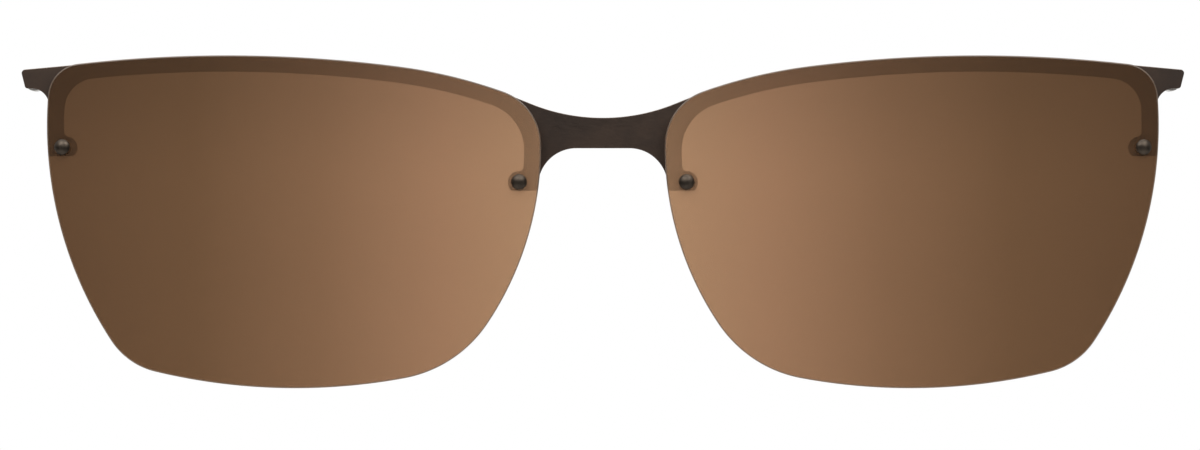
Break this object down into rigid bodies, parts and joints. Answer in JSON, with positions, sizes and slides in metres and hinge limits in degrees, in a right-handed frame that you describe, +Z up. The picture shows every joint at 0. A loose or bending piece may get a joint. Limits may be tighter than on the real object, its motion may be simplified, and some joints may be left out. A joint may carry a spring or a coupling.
{
  "type": "clip-on sunglass lens front",
  "caption": "Rigid clip-on sun lens front: a thin bronze metal bridge and half rims carry two brown tinted lenses, with magnets behind the end tabs.",
  "frame": {"origin": "centre of the bridge's back face, in the middle plane", "axes": "+X to the wearer's left, +Y towards the wearer, +Z up"},
  "size_m": [0.1342, 0.0118, 0.0382],
  "materials": {
    "bronze_metal": "satin dark bronze plating on stamped sheet metal",
    "tinted_lens": "polished, brown solid tint, clear to see through",
    "fixing_metal": "polished dark gunmetal plating",
    "screw_steel": "bright turned steel",
    "clear_nylon": "clear moulded nylon",
    "cup_steel": "turned steel, matt nickel",
    "magnet_nickel": "bright nickel plating"
  },
  "bodies": {
    "root": {"front_frame": "bronze_metal", "lens_left": "tinted_lens", "lens_right": "tinted_lens", "cap_nut_nose_left": "fixing_metal", "washer_front_nose_left": "clear_nylon", "lens_sleeve_nose_left": "clear_nylon", "washer_back_nose_left": "clear_nylon", "screw_nose_left": "screw_steel", "cap_nut_temple_left": "fixing_metal", "washer_front_temple_left": "clear_nylon", "lens_sleeve_temple_left": "clear_nylon", "washer_back_temple_left": "clear_nylon", "screw_temple_left": "screw_steel", "magnet_cup_left": "cup_steel", "magnet_left": "magnet_nickel", "cap_nut_nose_right": "fixing_metal", "washer_front_nose_right": "clear_nylon", "lens_sleeve_nose_right": "clear_nylon", "washer_back_nose_right": "clear_nylon", "screw_nose_right": "screw_steel", "cap_nut_temple_right": "fixing_metal", "washer_front_temple_right": "clear_nylon", "lens_sleeve_temple_right": "clear_nylon", "washer_back_temple_right": "clear_nylon", "screw_temple_right": "screw_steel", "magnet_cup_right": "cup_steel", "magnet_right": "magnet_nickel"}
  },
  "joints": []
}
